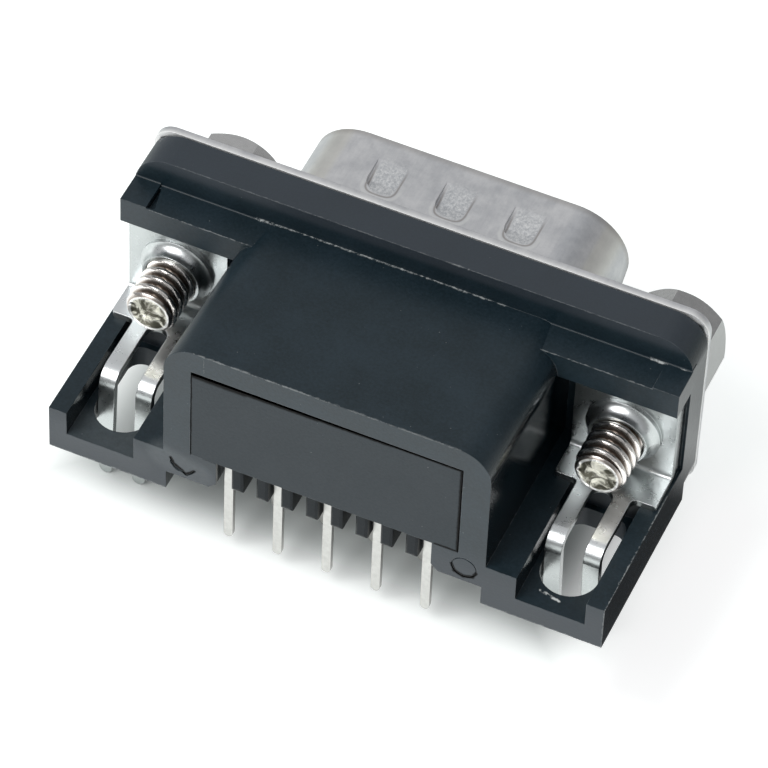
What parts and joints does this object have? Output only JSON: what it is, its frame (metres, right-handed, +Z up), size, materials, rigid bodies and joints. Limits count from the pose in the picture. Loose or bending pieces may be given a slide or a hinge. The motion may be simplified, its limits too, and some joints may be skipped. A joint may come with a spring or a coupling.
{
  "type": "d-sub connector",
  "caption": "Right-angle D-sub plug for a circuit board: D-shaped metal shell, moulded housing with feet, solder tails, forked board locks and hexagon jackscrews.",
  "frame": {"origin": "on the board's top surface, in the middle of the connector, where the board's edge meets the flange's back face", "axes": "+X along the connector to the right seen from behind, +Y the mating direction, +Z up from the board"},
  "size_m": [0.0308, 0.0183, 0.0159],
  "materials": {
    "tinned_steel": "satin tin plate over drawn steel",
    "black_moulding": "fine moulded texture, glass-filled black thermoplastic",
    "black_cover": "fine moulded texture, glass-filled black thermoplastic",
    "bracket_steel": "bright mottled zinc plate",
    "nickel": "bright nickel plate",
    "contact_metal": "satin tin plate"
  },
  "bodies": {
    "root": {"front_shell": "tinned_steel", "housing": "black_moulding", "rear_cover": "black_cover", "contact_1": "contact_metal", "contact_2": "contact_metal", "contact_3": "contact_metal", "contact_4": "contact_metal", "contact_5": "contact_metal", "contact_6": "contact_metal", "contact_7": "contact_metal", "contact_8": "contact_metal", "contact_9": "contact_metal", "bracket_left": "bracket_steel", "bracket_right": "bracket_steel", "jackscrew_left": "nickel", "jackscrew_right": "nickel"}
  },
  "joints": []
}
